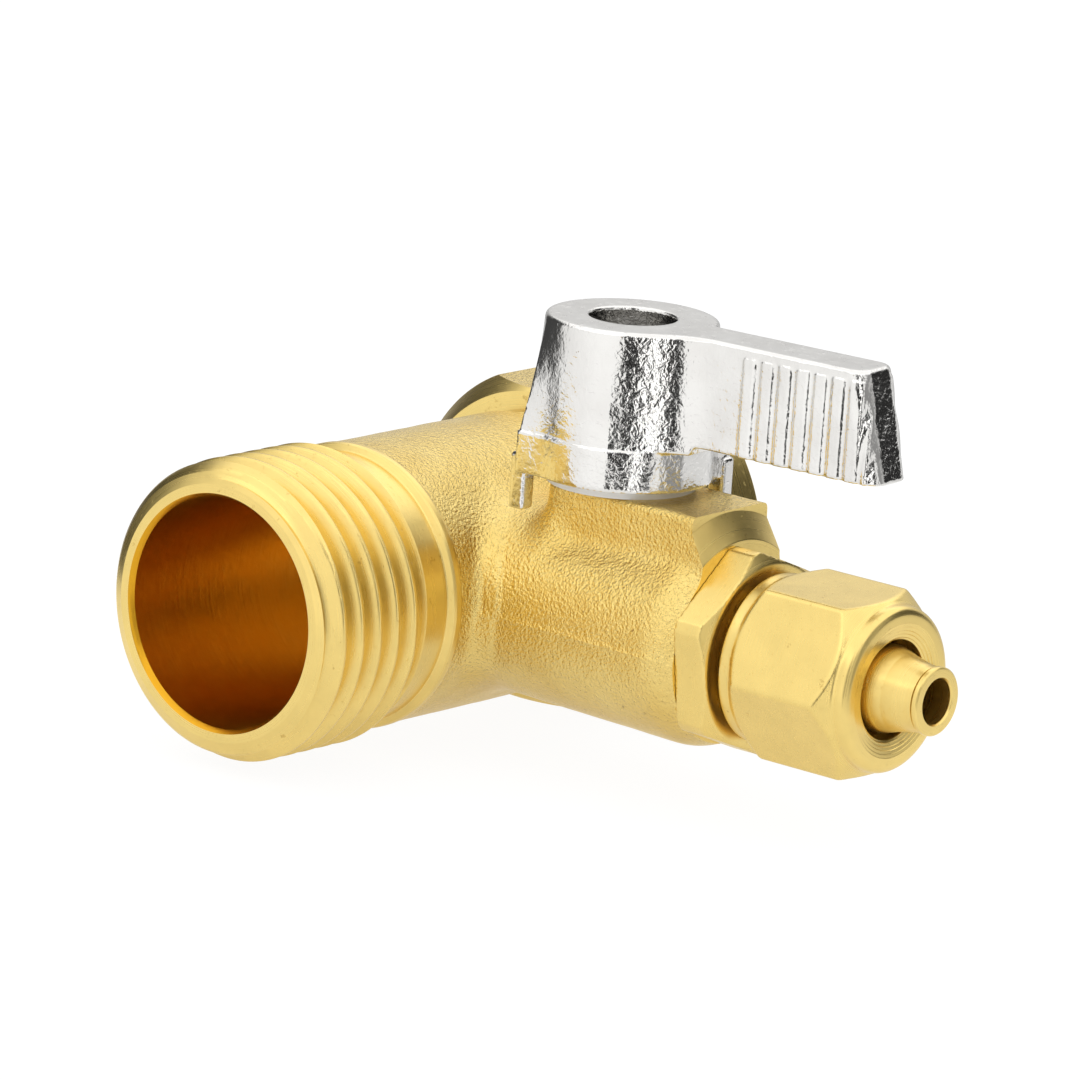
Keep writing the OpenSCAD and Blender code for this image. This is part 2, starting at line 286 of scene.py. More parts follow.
def box_shape(lo, hi):
    v = np.array([[(lo, hi)[i][0], (lo, hi)[j][1], (lo, hi)[k][2]] for i in (0, 1) for j in (0, 1) for k in (0, 1)], float)
    return v, [(0, 1, 3, 2), (4, 6, 7, 5), (0, 4, 5, 1), (2, 3, 7, 6), (0, 2, 6, 4), (1, 5, 7, 3)]


# ---------------------------------------------------------------- mesh objects
def make(name, shape, mats, slot_index=0):
    v, f = shape
    mesh = bpy.data.meshes.new(name)
    mesh.from_pydata((np.asarray(v, float)).tolist(), [], [tuple(int(i) for i in q) for q in f])
    for m in mats:
        mesh.materials.append(m)
    bm = bmesh.new()
    bm.from_mesh(mesh)
    bmesh.ops.recalc_face_normals(bm, faces=bm.faces)
    for face in bm.faces:
        face.material_index = slot_index
    bm.to_mesh(mesh)
    bm.free()
    o = bpy.data.objects.new(name, mesh)
    bpy.context.scene.collection.objects.link(o)
    return o


def combine(a, b, how):
    """boolean of two closed solids in millimetres; b is used up"""
    m = a.modifiers.new("cut", "BOOLEAN")
    m.operation, m.solver, m.object = how, "MANIFOLD", b
    m.material_mode = "INDEX"
    bpy.context.view_layer.update()
    done = bpy.data.meshes.new_from_object(a.evaluated_get(bpy.context.evaluated_depsgraph_get()))
    a.modifiers.clear()
    old = a.data
    a.data = done
    bpy.data.meshes.remove(old)
    mesh = b.data
    bpy.data.objects.remove(b)
    bpy.data.meshes.remove(mesh)
    if len(a.data.polygons) == 0:
        raise RuntimeError(f"nothing is left of {a.name} after {how}")
    return a


def vertex_normals(mesh):
    n = np.empty(len(mesh.vertices) * 3, np.float32)
    mesh.vertex_normals.foreach_get("vector", n)
    return n.reshape(-1, 3).astype(float)


def coords(mesh):
    co = np.empty(len(mesh.vertices) * 3, np.float32)
    mesh.vertices.foreach_get("co", co)
    return co.reshape(-1, 3).astype(float)


def finish_piece(o, body, nodes, sharp=32):
    """millimetres to metres, smooth shading with crisp edges, then onto its body"""
    bm = bmesh.new()
    bm.from_mesh(o.data)
    bmesh.ops.remove_doubles(bm, verts=bm.verts, dist=0.0015)
    bmesh.ops.dissolve_degenerate(bm, edges=bm.edges, dist=0.0008)
    bmesh.ops.scale(bm, vec=(MM, MM, MM), verts=bm.verts)
    limit = math.radians(sharp)
    for face in bm.faces:
        face.smooth = True
    for e in bm.edges:
        e.smooth = not (len(e.link_faces) == 2 and e.calc_face_angle(0) > limit)
    bm.to_mesh(o.data)
    bm.free()
    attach(o, body)
    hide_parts(*nodes)
    return o


# ---------------------------------------------------------------- materials
class Mat:
    """a procedural metal or plastic, built up node by node in the object's own coordinates"""

    def __init__(self, name, colour, rough, metallic=1.0):
        self.m = bpy.data.materials.new(name)
        self.m.use_nodes = True
        self.t = self.m.node_tree
        self.t.nodes.clear()
        self.out = self.node("ShaderNodeOutputMaterial")
        self.p = self.node("ShaderNodeBsdfPrincipled")
        self.link(self.p.outputs[0], self.out.inputs[0])
        self.p.inputs["Base Color"].default_value = (*colour, 1)
        self.p.inputs["Roughness"].default_value = rough
        self.p.inputs["Metallic"].default_value = metallic
        self.tc = self.node("ShaderNodeTexCoord")
        self.pos = self.tc.outputs["Object"]
        self.normal = None

    def node(self, kind, **props):
        n = self.t.nodes.new(kind)
        for k, v in props.items():
            setattr(n, k, v)
        return n

    def link(self, a, b):
        self.t.links.new(a, b)

    def value(self, op, a, b=None, c=None, clamp=False):
        n = self.node("ShaderNodeMath", operation=op, use_clamp=clamp)
        for i, x in enumerate((a, b, c)):
            if x is None:
                continue
            if isinstance(x, (int, float)):
                n.inputs[i].default_value = x
            else:
                self.link(x, n.inputs[i])
        return n.outputs[0]

    def stretch(self, sx, sy, sz, of=None):
        n = self.node("ShaderNodeMapping")
        n.inputs["Scale"].default_value = (sx, sy, sz)
        self.link(of or self.pos, n.inputs["Vector"])
        return n.outputs[0]

    def around(self, axis, offset=(0, 0, 0)):
        """(radius, along, angle times a length) about an axis, for turning marks"""
        sub = self.node("ShaderNodeVectorMath", operation="SUBTRACT")
        self.link(self.pos, sub.inputs[0])
        sub.inputs[1].default_value = offset
        s = self.node("ShaderNodeSeparateXYZ")
        self.link(sub.outputs[0], s.inputs[0])
        x, y, z = s.outputs
        a, b, t = {"x": (y, z, x), "y": (z, x, y), "z": (x, y, z)}[axis]
        r = self.value("SQRT", self.value("ADD", self.value("MULTIPLY", a, a), self.value("MULTIPLY", b, b)))
        c = self.node("ShaderNodeCombineXYZ")
        self.link(r, c.inputs[0])
        self.link(t, c.inputs[1])
        self.link(self.value("MULTIPLY", self.value("ARCTAN2", a, b), 0.0004), c.inputs[2])
        return c.outputs[0]

    def noise(self, scale, detail=2, rough=0.5, of=None, distort=0.0):
        n = self.node("ShaderNodeTexNoise")
        n.inputs["Scale"].default_value = scale
        n.inputs["Detail"].default_value = detail
        n.inputs["Roughness"].default_value = rough
        n.inputs["Distortion"].default_value = distort
        self.link(of or self.pos, n.inputs["Vector"])
        return n.outputs[0]

    def cells(self, scale, of=None, feature="F1", rand=1.0):
        n = self.node("ShaderNodeTexVoronoi", feature=feature)
        n.inputs["Scale"].default_value = scale
        n.inputs["Randomness"].default_value = rand
        self.link(of or self.pos, n.inputs["Vector"])
        return n.outputs["Distance"]

    def curve(self, v, stops):
        n = self.node("ShaderNodeValToRGB")
        e = n.color_ramp.elements
        for i, (at, c) in enumerate(stops):
            el = e[i] if i < 2 else e.new(at)
            el.position = at
            el.color = (*c, 1) if isinstance(c, tuple) else (c, c, c, 1)
        self.link(v, n.inputs[0])
        return n.outputs[0]

    def colour(self, v, stops):
        self.link(self.curve(v, stops), self.p.inputs["Base Color"])

    def colours(self, fac, a, b, out=True):
        n = self.node("ShaderNodeMix", data_type="RGBA")
        self.link(fac, n.inputs[0])
        for x, i in ((a, 6), (b, 7)):
            if isinstance(x, tuple):
                n.inputs[i].default_value = (*x, 1)
            else:
                self.link(x, n.inputs[i])
        if out:
            self.link(n.outputs[2], self.p.inputs["Base Color"])
        return n.outputs[2]

    def roughness(self, v, lo, hi):
        n = self.node("ShaderNodeMapRange")
        self.link(v, n.inputs[0])
        n.inputs[3].default_value, n.inputs[4].default_value = lo, hi
        self.link(n.outputs[0], self.p.inputs["Roughness"])

    def bump(self, v, distance, strength=1.0):
        n = self.node("ShaderNodeBump")
        n.inputs["Strength"].default_value = strength
        n.inputs["Distance"].default_value = distance
        self.link(v, n.inputs["Height"])
        if self.normal is not None:
            self.link(self.normal, n.inputs["Normal"])
        self.normal = n.outputs[0]
        self.link(self.normal, self.p.inputs["Normal"])


def blasted_brass(name):
    m = Mat(name, (0.82, 0.62, 0.22), 0.3)
    tone = m.noise(220, 4, 0.6)
    grain = m.noise(4300, 2, 0.6)
    base = m.curve(tone, [(0.3, (0.78, 0.56, 0.17)), (0.7, (0.86, 0.66, 0.24))])
    pits = m.curve(m.noise(1500, 3, 0.7), [(0.24, 1.0), (0.31, 0.0)])
    m.colours(pits, base, (0.36, 0.22, 0.06))
    m.roughness(grain, 0.2, 0.31)
    m.bump(m.noise(1300, 2, 0.5), 0.000018)
    m.bump(grain, 0.00015)
    return m.m


def turned_brass(name, axis, colour=(0.90, 0.68, 0.235), dark=(0.55, 0.36, 0.1), rough=(0.22, 0.36), lines=0.000005, nicks=True):
    m = Mat(name, colour, 0.28)
    round_ = m.around(axis)
    rings = m.noise(9000, 2, 0.7, of=m.stretch(1, 1, 0.02, round_))
    broad = m.noise(420, 3, 0.6)
    base = m.curve(broad, [(0.32, tuple(c * 0.93 for c in colour)), (0.68, colour)])
    stain = m.curve(m.noise(900, 4, 0.75), [(0.27, 1.0), (0.35, 0.0)])
    m.colours(m.value("MULTIPLY", stain, 0.75), base, dark)
    m.roughness(rings, *rough)
    m.bump(rings, lines)
    if nicks:
        m.bump(m.curve(m.noise(2600, 3, 0.75), [(0.27, 0.0), (0.36, 1.0)]), 0.000012)
        m.bump(m.noise(500, 2, 0.5), 0.000014)
    return m.m


# painted shade: the bore's brass is coloured a deep orange-brown, darker and redder than the turned brass, standing in
# for the shade and brass-tinted light inside the bore
def bore_brass_painted_shade(name):
    m = Mat(name, (0.86, 0.43, 0.03), 0.3)
    round_ = m.around("y")
    rings = m.noise(3200, 3, 0.6, of=m.stretch(1, 1, 0.22, round_))
    patch = m.noise(500, 3, 0.6)
    m.colours(patch, (0.72, 0.35, 0.018), (0.82, 0.435, 0.03))
    m.roughness(patch, 0.26, 0.36)
    m.bump(m.value("MULTIPLY", rings, m.curve(patch, [(0.40, 0.15), (0.62, 1.0)])), 0.00002)
    m.bump(m.noise(9000, 2, 0.6), 0.000003)
    return m.m


def plated(name, pebble, rough=(0.08, 0.18)):
    m = Mat(name, (0.80, 0.79, 0.76), 0.12)
    tone = m.noise(300, 3, 0.5)
    base = m.curve(tone, [(0.3, (0.74, 0.725, 0.70)), (0.7, (0.82, 0.81, 0.785))])
    spots = m.curve(m.noise(1900, 2, 0.7), [(0.22, 1.0), (0.27, 0.0)])
    m.colours(spots, base, (0.35, 0.28, 0.2))
    m.roughness(m.noise(1200, 3, 0.6), *rough)
    if pebble:
        m.bump(m.noise(2300, 2, 0.5, distort=0.6), 0.00004, pebble)
        m.bump(m.noise(5200, 2, 0.5), 0.000012, pebble)
    else:
        m.bump(m.noise(4200, 3, 0.7), 0.000006)
        m.bump(m.curve(m.noise(2300, 2, 0.6), [(0.60, 0.0), (0.68, 1.0)]), 0.000016)
    return m.m


def plain_metal(name, colour, rough, axis="z", offset=(0, 0, 0)):
    m = Mat(name, colour, sum(rough) / 2)
    rings = m.noise(7000, 2, 0.7, of=m.stretch(1, 1, 0.02, m.around(axis, offset)))
    wear = m.noise(800, 4, 0.6)
    m.colours(wear, tuple(c * 0.8 for c in colour), colour)
    m.roughness(rings, *rough)
    m.bump(rings, 0.000004)
    m.bump(wear, 0.00001)
    return m.m


def plastic(name, colour, dark, rough, scale=1800):
    m = Mat(name, colour, rough, 0.0)
    grain = m.noise(scale, 3, 0.6)
    m.colours(m.noise(500, 3, 0.6), dark, colour)
    m.roughness(grain, rough * 0.8, min(1, rough * 1.25))
    m.bump(grain, 0.00001)
    return m.m


FORGED = blasted_brass("forged_brass")
TURN_Y = turned_brass("turned_brass_run", "y")
TURN_X = turned_brass("turned_brass_branch", "x")
BORE_PAINTED_SHADE = bore_brass_painted_shade("bore_brass_painted_shade")
TEE_MATS = [FORGED, TURN_Y, TURN_X, BORE_PAINTED_SHADE]

NICKEL = plated("nickel_pebbled", 1.0)
NICKEL_TOP = plated("nickel_smooth", 0.0, (0.24, 0.34))
LEVER_MATS = [NICKEL, NICKEL_TOP]


# ---------------------------------------------------------------- tee body
def tee_field(x, y, z):
    low = ramp(-z, 0.05)
    xs, ys = x + 0.26 * low, y + 0.05 * low
    rho = np.hypot(x, z)
    run = smax(rho - 9.97, smax(-9.2 - y, y - 8.85, 0.2), 0.5)
    rb = np.hypot(ys, z)
    seam = 0.075 * np.exp(-(z / 0.16) ** 2)
    bead_at = np.hypot(xs, 1.25 * z) - 11.2
    bead = 0.21 * np.exp(-(bead_at / 0.62) ** 4) * ramp(np.abs(y) - 4.2, 0.8)
    girth = 7.28 + 0.022 * (np.clip(x, 5, 26) - 24.7)
    mouth = (rb - 6.68 - (27.1 - x) * 0.38) / 1.07
    branch = smax(rb - girth - seam - bead, mouth, 0.35)
    branch = np.maximum(branch, np.maximum(x - 27.6, 2.0 - x))
    d = smin(run, branch, 1.5)
    plan = sd_box2(x - 20.7, y, 8.35, 4.1 - 0.05 * (z - 8), 1.6)
    pad = smax(plan, z - 9.4, 0.5)
    pad = np.maximum(pad, 3.0 - z)
    pad = np.maximum(pad, x - 27.6)
    return smin(d, pad, 0.65 + 1.5 * ramp(14.6 - x, 1.2))


def build_tee():
    p, q = skin(tee_field, (-10.5, -9.8, -10.5), (27.8, 9.4, 10.5), 0.215)
    tee = make("tee", (p, q), TEE_MATS, 0)
    co, n = coords(tee.data), vertex_normals(tee.data)
    bumps = 0.016 * noise3(co, 1.6, 3) + 0.006 * noise3(co, 0.62, 5)
    co += n * bumps[:, None]
    tee.data.vertices.foreach_set("co", co.astype(np.float32).ravel())
    # male end: a real right-hand helix cut to the turned outline
    prof = thread_profile(9.3155, 10.4775, 1.814, 0.12, 0.14, 0.045)
    bar = make("bar", helix(prof, 1.814, -19.4 - 3.5 * 1.814 - 1.814 * 0.25, 8, 160, "y"), TEE_MATS, 1)
    core = make("core", lathe(rounded([(0, -12.45), (9.7, -12.45), (10.3, -12.0), (10.3, -7.2), (0, -7.2)], 0), "y", 160), TEE_MATS, 1)
    bar = combine(bar, core, "UNION")
    outline = rounded([(0, -22.65), (8.95, -22.65, 0.06), (9.72, -22.3, 0.06), (10.12, -21.9, 0.15), (10.6, -21.15, 0.1), (10.6, -12.85, 0),
                       (10.1, -12.5, 0.06), (9.56, -12.05, 0.2), (9.54, -9.72, 0.14), (9.98, -9.5, 0.07), (10.06, -9.28, 0.12),
                       (10.06, -8.9, 0.12), (9.9, -8.5, 0.05), (9.6, -8.3, 0), (9.6, -7.4, 0), (0, -7.4)], 0.1, 4)
    shape = make("outline", lathe(outline, "y", 160), TEE_MATS, 1)
    male = combine(bar, shape, "INTERSECT")
    # female collar, round with two flats
    collar = make("collar", lathe(rounded([(0, 8.0), (9.5, 8.0, 0), (9.5, 10.36, 0.15), (11.13, 10.36, 0.12), (12.5, 12.0, 0.25), (12.5, 21.2, 0.2),
                                           (11.7, 22.0, 0.12), (0, 22.0)], 0.1, 4), "y", 160), TEE_MATS, 1)
    for s in (-1, 1):
        lo, hi = (-15, 10.3, 11.3), (15, 23, 16)
        if s < 0:
            lo, hi = (-15, 10.3, -16), (15, 23, -11.3)
        collar = combine(collar, make("flat", box_shape(lo, hi), TEE_MATS, 0), "DIFFERENCE")
    tee = combine(tee, male, "UNION")
    tee = combine(tee, collar, "UNION")
    # turning at the mouth of the branch
    mouth = [(0, 30), (16, 30), (16, 25.85), (9.25, 25.85), (7.5, 27.07), (5.9, 27.1), (0, 27.1)]
    tee = combine(tee, make("mouth", lathe(rounded(mouth, 0.08), "x", 128), TEE_MATS, 2), "DIFFERENCE")
    # bores
    # the bore walls take slot 3, the brass whose deep orange-brown is painted shade
    tee = combine(tee, make("bore", lathe([(0, -24), (8.6, -24), (8.6, -22.9), (8.28, -22.62), (8.05, -22.25), (8.05, 11.6), (0, 11.6)], "y", 160), TEE_MATS, 3), "DIFFERENCE")
    inner = thread_profile(9.36, 10.46, 1.814, 0.14, 0.18, 0.05)
    female = make("female", helix(inner, 1.814, 7.4, 8, 128, "y"), TEE_MATS, 1)
    room = make("room", lathe([(0, 10.6), (9.2, 10.6), (9.4, 10.9), (10.5, 11.9), (10.6, 22.4), (0, 22.4)], "y", 128), TEE_MATS, 1)
    female = combine(female, room, "INTERSECT")
    lead = make("lead", lathe([(0, 10.6), (9.2, 10.6), (9.34, 10.9), (9.34, 20.7), (10.5, 21.9), (10.6, 23), (0, 23)], "y", 128), TEE_MATS, 1)
    female = combine(female, lead, "UNION")
    tee = combine(tee, female, "DIFFERENCE")
    way = [(0, 6), (2.5, 6), (2.5, 11.5), (5.4, 11.5), (5.4, 20.95), (5.45, 21.0)]
    for i in range(5):
        way += [(5.45, 21.2 + i), (5.95, 21.62 + i), (5.95, 21.78 + i), (5.45, 22.19 + i)]
    way += [(5.45, 26.15), (5.92, 26.2), (5.92, 28), (0, 28)]
    tee = combine(tee, make("way", lathe(way, "x", 96), TEE_MATS, 2), "DIFFERENCE")
    stem = lathe([(0, 3), (3.3, 3), (3.3, 6.5), (2.55, 6.5), (2.55, 9.15), (2.8, 9.6), (2.8, 11), (0, 11)], "z", 96)
    stem = (stem[0] + np.array([STEM_X, 0, 0]), stem[1])
    tee = combine(tee, make("stem_way", stem, TEE_MATS, 2), "DIFFERENCE")
    return finish_piece(tee, "tee", ["tee_body"], 30)


# ---------------------------------------------------------------- lever
RIM = [(-5.05, -5.75), (2.5, -5.75), (6.05, -1.7), (5.05, 5.75), (-2.5, 5.75), (-6.05, 1.7)]


def lever_field(x, y, z):
    c, s = math.cos(LEVER_ANGLE), math.sin(LEVER_ANGLE)
    X, Y = (x - STEM_X) * c + y * s, -(x - STEM_X) * s + y * c
    r = np.hypot(X, Y)
    rim = smin(sd_poly(X, Y, [(a * 0.93, b * 0.93) for a, b in RIM]) - 0.42, r - 6.3, 0.35)
    t = np.clip((21.08 - z) / (21.08 - 12.95), 0, 1)
    hub = (r - 5.98) * (1 - t) + (rim + 0.16) * t
    hub = hub / 1.03
    tip = 20.3 + (21.08 - z) * 0.235
    bar = 0.5 + 0.5 * np.tanh((np.cos(2 * math.pi * (X - 11.32) / 1.44) + 0.55) / 0.3)
    on = ramp(X - 10.55, 0.1) * ramp(21.2 - X, 0.1) * ramp(20.4 - z, 0.1)
    half = 2.14 + 0.17 * bar * on
    side = sd_box2(X - tip / 2, Y, tip / 2, half, 1.3)
    # the blade's lower edge: high beyond the skirt, down to the skirt's top beside the hub
    under = 13.5 - 0.6 * ramp(7.2 - X, 0.12) - z
    k = 0.5 + 2.3 * ramp(-Y, 0.8)
    d = smax(smin(hub, side, k), under, 0.16)
    d = smax(d, z - 21.08, 0.4)
    skirt = smax(rim, np.abs(z - 11.5) - 1.45, 0.12)
    d = smin(d, skirt, 0.06)
    for a in (1, -1):
        lug = sd_box2(a * X + 4.85, a * Y + 4.95, 0.65, 0.65, 0.28)
        lug = smax(lug, np.abs(z - 9.4) - 2.0, 0.3)
        d = smin(d, lug, 0.12)
    hole = smax(r - 3.02, 15.6 - z, 0.15)
    hole = np.minimum(hole, np.maximum(r - 1.65, 13 - z))
    socket = np.maximum(np.maximum(r - 2.45, np.abs(Y) - 1.85), z - 14.8)
    hole = np.minimum(hole, np.minimum(socket, np.maximum(r - 2.6, z - 10.35)))
    return smax(d, -hole, 0.18)


def build_lever():
    lo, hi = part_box("lever_handle")
    p, q = skin(lever_field, tuple(v / MM for v in lo), tuple(v / MM for v in hi), 0.15)
    o = make("lever", (p, q), LEVER_MATS, 0)
    co, n = coords(o.data), vertex_normals(o.data)
    side = np.clip((0.85 - np.abs(n[:, 2])) / 0.3, 0, 1) * np.clip((21.0 - co[:, 2]) / 0.4, 0, 1) * np.clip((co[:, 2] - 10.1) / 0.3, 0, 1)
    bumps = 0.010 * noise3(co * np.array([1, 1, 0.8]), 0.5, 11) + 0.014 * noise3(co, 1.5, 12)
    co += n * (bumps * side)[:, None]
    o.data.vertices.foreach_set("co", co.astype(np.float32).ravel())
    for poly in o.data.polygons:
        poly.material_index = 1 if poly.normal.z > 0.93 and poly.center.z > 20.8 else 0
    return finish_piece(o, "lever", ["lever_handle"], 50)


# ---------------------------------------------------------------- connector and nut
def build_connector():
    mats = [TURN_X]
    prof = [(0, 20.95), (4.9, 20.95, 0.1)]
    for i in range(4):
        prof += [(4.9, 21.4 + i, 0.05), (5.38, 21.85 + i, 0.04), (5.38, 22.0 + i, 0.04), (4.9, 22.35 + i, 0.05)]
    prof += [(4.9, 25.95, 0.05), (5.05, 26.1, 0), (5.05, 28.5, 0), (0, 28.5)]
    o = make("connector", lathe(rounded(prof, 0.05, 2), "x", 96), mats)

    def hexa(x, y, z):
        r = np.hypot(y, z)
        h = sd_hex(y, z, 13, 39, 0.12)
        h = smax(h, r - 7.28, 0.06)
        h = smax(h, (r - 6.42 - (29.75 - x) * 1.7) / 1.97, 0.06)
        h = smax(h, (r - 7.2 - (x - 27.1) * 2.2) / 2.4, 0.04)
        return smax(h, np.abs(x - 28.43) - 1.32, 0.06)

    h = make("hexa", skin(hexa, (26.9, -7.5, -7.5), (30, 7.5, 7.5), 0.12), mats)
    o = combine(o, h, "UNION")
    prof = [(0, 29.0), (4.2, 29.0, 0), (4.2, 31.0, 0.05)]
    for i in range(5):
        prof += [(4.2, 31.1 + i, 0.05), (4.75, 31.45 + i, 0.04), (4.75, 31.6 + i, 0.04), (4.2, 31.95 + i, 0.05)]
    prof += [(4.2, 36.1, 0.1), (3.55, 36.6, 0.1), (3.0, 37.3, 0.3), (3.0, 39.6, 0.6), (3.06, 40.2, 0.5), (2.93, 40.75, 0.8), (2.66, 41.6, 0.8),
             (2.46, 42.5, 0.8), (2.31, 43.4, 0.5), (2.27, 43.84, 0.1), (2.37, 44.0, 0.06), (2.37, 44.3, 0.07), (2.25, 44.4, 0.03), (0, 44.4)]
    o = combine(o, make("barb", lathe(rounded(prof, 0.1, 4), "x", 96), mats), "UNION")
    way = rounded([(0, 19), (2.5, 19), (2.5, 33.9, 0.1), (1.58, 34.9, 0.1), (1.58, 44.25, 0.08), (1.8, 44.6), (1.8, 45), (0, 45)], 0.05, 2)
    o = combine(o, make("way2", lathe(way, "x", 96), mats), "DIFFERENCE")
    return finish_piece(o, "tee", ["branch_connector"], 30)


def build_nut():
    mats = [TURN_X]

    def nut(x, y, z):
        r = np.hypot(y, z)
        h = sd_hex(y, z, 12, 4, 0.22)
        front = (r - 5.82 - (39.95 - x) * 1.05) / 1.45
        back = (r - 5.98 - (x - 31.35) * 1.1) / 1.49
        h = smax(h, smax(front, back, 0.06), 0.16)
        h = np.maximum(h, np.abs(x - 35.5) - 4.9)
        rear = smax(r - 5.93, np.abs(x - 31.0) - 0.65, 0.16)
        d = smin(h, rear, 0.06)
        nose = smax(r - 5.77, np.abs(x - 39.5) - 1.5, 0.75)
        return smin(d, nose, 0.12)

    o = make("nut", skin(nut, (30.2, -7.2, -7.2), (41.1, 7.2, 7.2), 0.13), mats)
    inside = [(0, 30), (5.3, 30, 0), (5.25, 30.5, 0.05), (4.86, 30.9, 0.05)]
    for i in range(6):
        inside += [(4.86, 31.0 + i, 0.03), (5.3, 31.4 + i, 0.03), (5.3, 31.5 + i, 0.03), (4.86, 31.9 + i, 0.03)]
    inside += [(4.86, 37.1, 0.05), (4.3, 37.6, 0.1), (3.47, 38.6, 0.1), (3.47, 40.62, 0.1), (3.62, 40.68, 0.05), (3.66, 40.74, 0.03), (3.86, 40.75, 0.04),
               (3.9, 40.82, 0.03), (4.1, 40.83, 0.04), (4.14, 40.9, 0.03), (4.36, 40.91, 0.04), (4.4, 40.96, 0.03), (4.62, 40.97, 0.04),
               (4.68, 41.03, 0), (4.7, 42, 0), (0, 42)]
    o = combine(o, make("inside", lathe(rounded(inside, 0.04, 2), "x", 128), mats), "DIFFERENCE")
    return finish_piece(o, "nut", ["compression_nut"], 30)


tee = build_tee()
lever = build_lever()
connector = build_connector()
nut = build_nut()

# the other nodes keep their shape and get their finish
steel = plain_metal("screw_steel_worn", (0.55, 0.55, 0.55), (0.22, 0.38), "z", (STEM_X * MM, 0, 0))
stem_brass = plain_metal("stem_brass_turned", (0.82, 0.6, 0.25), (0.18, 0.3), "z", (STEM_X * MM, 0, 0))
chrome = plain_metal("ball_chrome_polished", (0.72, 0.73, 0.75), (0.05, 0.12), "x")
ptfe = plastic("ptfe_white", (0.86, 0.86, 0.84), (0.78, 0.78, 0.75), 0.4)
nylon = plastic("nylon_white", (0.85, 0.85, 0.84), (0.75, 0.75, 0.74), 0.35)
rubber = plastic("rubber_black", (0.03, 0.03, 0.03), (0.015, 0.015, 0.015), 0.6)
FINISH = {"seat_ring_inner": ptfe, "seat_ring_outer": ptfe, "stem_thrust_washer": ptfe, "handle_bushing": nylon, "ball": chrome,
          "stem": stem_brass, "stem_oring_lower": rubber, "stem_oring_upper": rubber, "connector_seal": rubber,
          "screw_lock_washer": steel, "handle_screw": steel}
for name, mat in FINISH.items():
    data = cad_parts[name].data
    if not data.materials:
        data.materials.append(mat)
    for i in range(len(data.materials)):
        data.materials[i] = mat

# ---------------------------------------------------------------- floor, light, camera
scene = bpy.context.scene
scene.view_settings.view_transform = "Standard"
scene.view_settings.look = "None"

floor_mat = bpy.data.materials.new("floor_pale")
floor_mat.use_nodes = True
ft = floor_mat.node_tree
ft.nodes.clear()
fo, mixer = ft.nodes.new("ShaderNodeOutputMaterial"), ft.nodes.new("ShaderNodeMixShader")
dif, emi, path = ft.nodes.new("ShaderNodeBsdfDiffuse"), ft.nodes.new("ShaderNodeEmission"), ft.nodes.new("ShaderNodeLightPath")
dif.inputs[0].default_value = (0.86, 0.86, 0.86, 1)
emi.inputs[0].default_value = (1, 1, 1, 1)
emi.inputs[1].default_value = 1.06
part = ft.nodes.new("ShaderNodeMath")
part.operation = "MULTIPLY"
part.inputs[1].default_value = 0.38
ft.links.new(path.outputs["Is Camera Ray"], part.inputs[0])
lift = ft.nodes.new("ShaderNodeMath")
lift.operation = "ADD"
lift.inputs[1].default_value = 0.5
lift.use_clamp = True
ft.links.new(part.outputs[0], lift.inputs[0])
ft.links.new(lift.outputs[0], mixer.inputs[0])
ft.links.new(dif.outputs[0], mixer.inputs[1])
ft.links.new(emi.outputs[0], mixer.inputs[2])
ft.links.new(mixer.outputs[0], fo.inputs[0])
floor_mesh = bpy.data.meshes.new("floor")
zf = cad_box[0].z - 0.00002
rim = [(0.0125 + 0.076 * math.cos(2 * math.pi * i / 128), 0.076 * math.sin(2 * math.pi * i / 128), zf) for i in range(128)]
floor_mesh.from_pydata(rim, [], [tuple(range(128))])
floor_mesh.materials.append(floor_mat)
floor = bpy.data.objects.new("floor", floor_mesh)
scene.collection.objects.link(floor)

world = bpy.data.worlds.new("studio")
scene.world = world
world.use_nodes = True
wt = world.node_tree
wt.nodes.clear()


def wnode(kind, **props):
    n = wt.nodes.new(kind)
    for k, v in props.items():
        setattr(n, k, v)
    return n


def wmath(op, a, b=None, clamp=False):
    n = wnode("ShaderNodeMath", operation=op, use_clamp=clamp)
    for i, x in enumerate((a, b)):
        if x is None:
            continue
        if isinstance(x, (int, float)):
            n.inputs[i].default_value = x
        else:
            wt.links.new(x, n.inputs[i])
    return n.outputs[0]


def wramp(v, stops):
    n = wnode("ShaderNodeValToRGB")
    e = n.color_ramp.elements
    for i, (at, c) in enumerate(stops):
        el = e[i] if i < 2 else e.new(at)
        el.position = at
        el.color = (c, c, c, 1)
    wt.links.new(v, n.inputs[0])
    return n.outputs[0]


coord = wnode("ShaderNodeTexCoord")
sep = wnode("ShaderNodeSeparateXYZ")
wt.links.new(coord.outputs["Generated"], sep.inputs[0])
# azimuth away from the front, as a share of a whole turn: 0.5 is towards the front, less is its left, more its right
FRONT = math.radians(-50.8)
ca, sa = math.cos(-FRONT), math.sin(-FRONT)
fx = wmath("SUBTRACT", wmath("MULTIPLY", sep.outputs[0], ca), wmath("MULTIPLY", sep.outputs[1], sa))
fy = wmath("ADD", wmath("MULTIPLY", sep.outputs[0], sa), wmath("MULTIPLY", sep.outputs[1], ca))
turn = wmath("ADD", wmath("DIVIDE", wmath("ARCTAN2", fy, fx), 2 * math.pi), 0.5)
rise = wmath("DIVIDE", wmath("ARCSINE", sep.outputs[2]), math.pi / 2)


def deg(d):
    return 0.5 + d / 360


